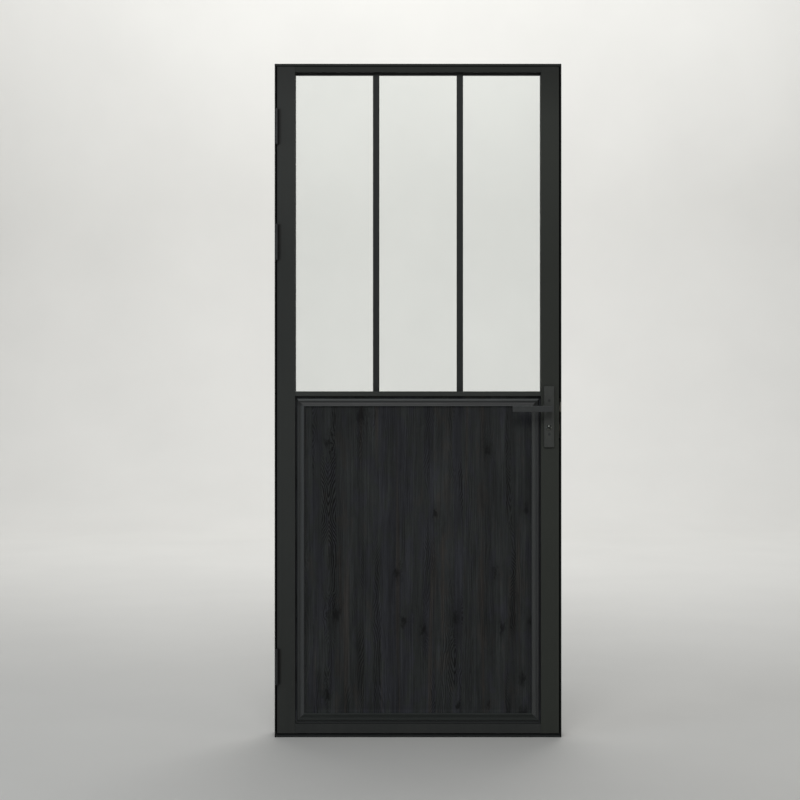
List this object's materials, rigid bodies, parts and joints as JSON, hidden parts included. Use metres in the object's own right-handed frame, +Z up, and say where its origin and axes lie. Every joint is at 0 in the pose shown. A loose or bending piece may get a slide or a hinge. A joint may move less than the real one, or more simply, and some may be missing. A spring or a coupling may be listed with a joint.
{
  "type": "half-glazed interior door with frame",
  "caption": "Dark half-glazed interior door with slim bars, a stained oak panel, lever handle and its own slim frame.",
  "frame": {"origin": "underside of the threshold, below the middle of the leaf's width and thickness", "axes": "+X to the right seen from the front (lock side), +Y to the back of the door, +Z up"},
  "size_m": [0.853, 0.142, 2.0015],
  "materials": {
    "frame_coat": "matte",
    "leaf_coat": "satin",
    "stained_oak": "satin",
    "stained_trim": "satin",
    "core_board": "matte",
    "clear_glass": "gloss",
    "black_rubber": "matte",
    "black_plastic": "matte",
    "dark_fittings": "satin",
    "satin_steel": "satin",
    "plated_steel": "satin"
  },
  "bodies": {
    "frame": {"frame_hinge_jamb": "frame_coat", "frame_lock_jamb": "frame_coat", "frame_head": "frame_coat", "frame_corner_cleats": "plated_steel", "threshold": "frame_coat", "seal_hinge_side": "black_rubber", "seal_lock_side": "black_rubber", "seal_head": "black_rubber", "strike_plate": "satin_steel", "strike_screws": "satin_steel", "hinge_frame_leaves": "dark_fittings", "hinge_pins": "dark_fittings", "hinge_washers": "black_plastic", "hinge_frame_screws": "dark_fittings"},
    "leaf": {"hinge_stile": "leaf_coat", "lock_stile": "leaf_coat", "stile_end_caps": "black_plastic", "top_rail": "leaf_coat", "mid_rail": "leaf_coat", "bottom_rail": "leaf_coat", "rail_fixing_screws": "plated_steel", "glass_pane": "clear_glass", "setting_blocks": "black_plastic", "glazing_gaskets": "black_rubber", "glazing_bar_front_left": "leaf_coat", "glazing_bar_front_right": "leaf_coat", "glazing_bar_back_left": "leaf_coat", "glazing_bar_back_right": "leaf_coat", "glazing_bead_top": "leaf_coat", "glazing_bead_bottom": "leaf_coat", "glazing_bead_hinge_side": "leaf_coat", "glazing_bead_lock_side": "leaf_coat", "panel_core": "core_board", "panel_skin_front": "stained_oak", "panel_skin_back": "stained_oak", "panel_moulding_top": "stained_trim", "panel_moulding_bottom": "stained_trim", "panel_moulding_hinge_side": "stained_trim", "panel_moulding_lock_side": "stained_trim", "panel_bead_top": "stained_trim", "panel_bead_bottom": "stained_trim", "panel_bead_hinge_side": "stained_trim", "panel_bead_lock_side": "stained_trim", "hinge_door_leaves": "dark_fittings", "hinge_door_screws": "dark_fittings", "lock_case": "plated_steel", "lock_forend": "satin_steel", "forend_screws": "satin_steel", "handle_plate_front": "dark_fittings", "handle_plate_back": "dark_fittings", "handle_plate_screws": "dark_fittings"},
    "handle": {"lever_front": "dark_fittings", "lever_back": "dark_fittings", "lever_spindle": "plated_steel", "lock_follower": "plated_steel"},
    "latch": {"latch_bolt": "satin_steel"},
    "turn": {"turn_front": "satin_steel", "turn_back": "dark_fittings", "turn_spindle": "plated_steel"},
    "bolt": {"dead_bolt": "satin_steel"}
  },
  "joints": [
    {"name": "leaf_swing", "type": "hinge", "parent": "frame", "child": "leaf", "pos_m": [-0.4195, -0.028, 1], "axis": [0, 0, -1], "range_deg": [0, 170]},
    {"name": "lever_turn", "type": "hinge", "parent": "leaf", "child": "handle", "pos_m": [0.389, 0, 0.9765], "axis": [0, -1, 0], "range_deg": [0, 40], "stiffness_Nm_per_rad": 0.9, "springref_deg": -40.11},
    {"name": "latch_slide", "type": "slide", "parent": "leaf", "child": "latch", "axis": [-1, 0, 0], "range_m": [0, 0.008]},
    {"name": "turn_rotate", "type": "hinge", "parent": "leaf", "child": "turn", "pos_m": [0.389, 0, 0.9195], "axis": [0, -1, 0], "range_deg": [0, 90]},
    {"name": "bolt_slide", "type": "slide", "parent": "leaf", "child": "bolt", "axis": [1, 0, 0], "range_m": [0, 0.008]}
  ],
  "couplings": [
    {"joint": "latch_slide", "follows": "lever_turn", "m_per_rad": 0.01145},
    {"joint": "bolt_slide", "follows": "turn_rotate", "m_per_rad": 0.00509}
  ]
}
